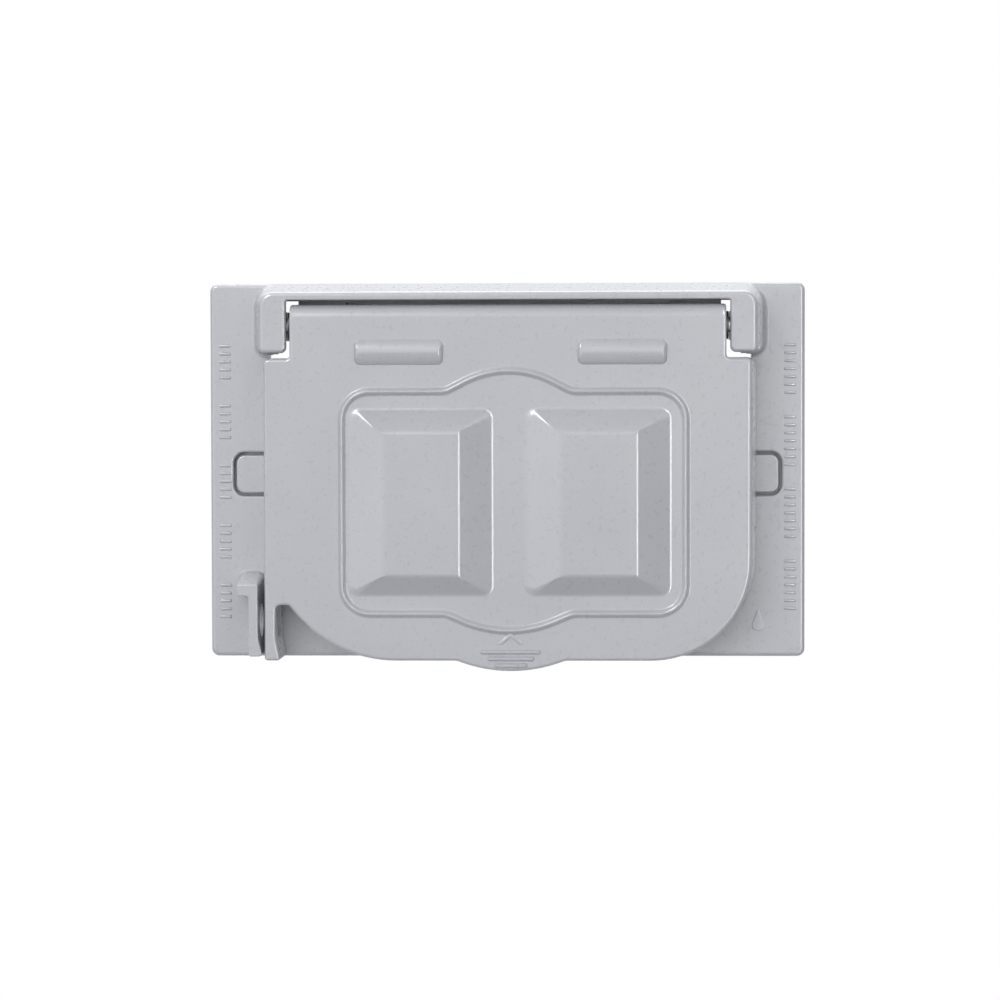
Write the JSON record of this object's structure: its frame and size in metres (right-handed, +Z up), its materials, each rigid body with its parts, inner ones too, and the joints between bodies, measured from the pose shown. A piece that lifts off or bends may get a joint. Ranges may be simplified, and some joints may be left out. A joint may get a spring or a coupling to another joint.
{
  "type": "weatherproof outlet cover",
  "caption": "Weatherproof die-cast outlet cover, mounted sideways, with a hooded self-closing flip lid, lift tab, padlock hasp and slotted frame for the inner plate.",
  "frame": {"origin": "on the wall plane, midway between the two box screws", "axes": "+X right along the cover's long side, +Y into the wall, +Z up; the cover faces -Y"},
  "size_m": [0.1166, 0.034, 0.0754],
  "materials": {
    "powder_coat": "satin",
    "foam": "matte",
    "zinc_steel": "satin",
    "black_nylon": "matte",
    "fibre": "matte"
  },
  "bodies": {
    "frame": {"base_frame": "powder_coat", "wall_gasket": "foam", "device_plate": "powder_coat", "insert_gasket": "foam", "hinge_pin": "zinc_steel", "left_torsion_spring": "zinc_steel", "right_torsion_spring": "zinc_steel", "pin_retainers": "zinc_steel", "box_screws": "zinc_steel", "screw_seals": "fibre", "device_screw": "zinc_steel", "device_screw_seal": "fibre"},
    "lid": {"lid": "powder_coat", "lid_gasket": "foam", "left_hinge_bushing": "black_nylon", "right_hinge_bushing": "black_nylon"}
  },
  "joints": [
    {"name": "lid_hinge", "type": "hinge", "parent": "frame", "child": "lid", "pos_m": [0.00055, -0.0146, 0.0288], "axis": [-1, 0, 0], "range_deg": [0, 85], "stiffness_Nm_per_rad": 0.03, "springref_deg": -57.3, "deforming": ["left_torsion_spring", "right_torsion_spring"]}
  ]
}
